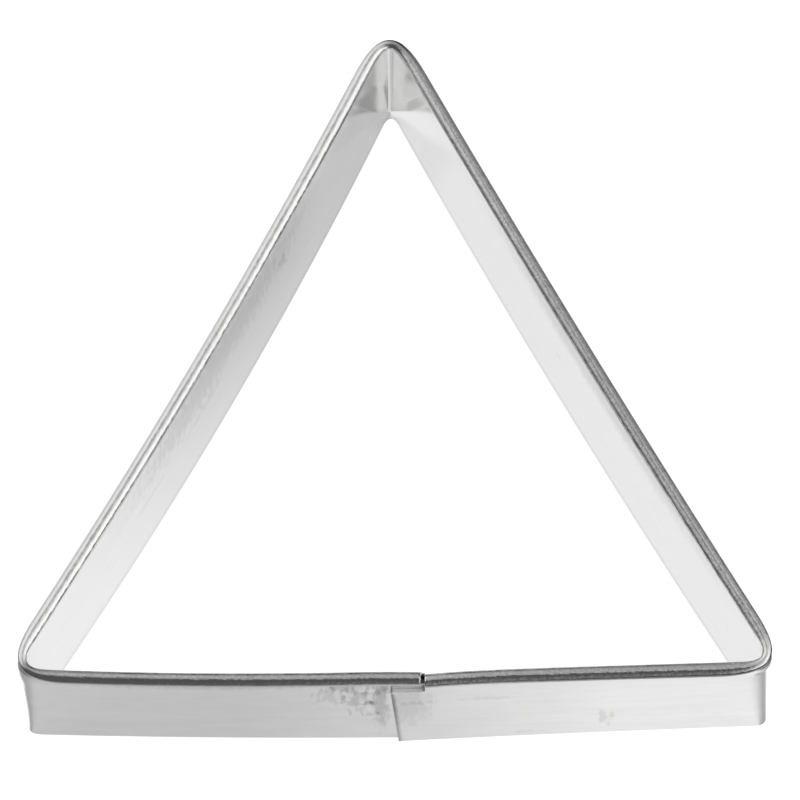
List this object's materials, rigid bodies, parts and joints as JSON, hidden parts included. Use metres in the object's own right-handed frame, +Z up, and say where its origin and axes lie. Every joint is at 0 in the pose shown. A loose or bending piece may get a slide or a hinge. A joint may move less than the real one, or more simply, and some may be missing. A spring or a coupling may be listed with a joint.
{
  "type": "triangle cookie cutter",
  "caption": "Triangular cookie cutter bent from a strip of bright tinned steel, with a rolled upper rim and a spot-welded lap seam in its front side.",
  "frame": {"origin": "on the table under the middle of the cutter's plan, in the plane of the cutting edge", "axes": "+Z up to the rolled rim, +X along the front side that has the seam, +Y from the front side to the far corner"},
  "size_m": [0.0604, 0.0536, 0.022],
  "materials": {
    "tinned_steel": "bright rolled tinplate, nearly mirror-like, with fine lines along the strip",
    "weld_steel": "dull remelted steel inside the lap"
  },
  "bodies": {
    "root": {"cutter_strip": "tinned_steel", "lower_spot_weld": "weld_steel", "upper_spot_weld": "weld_steel"}
  },
  "joints": []
}
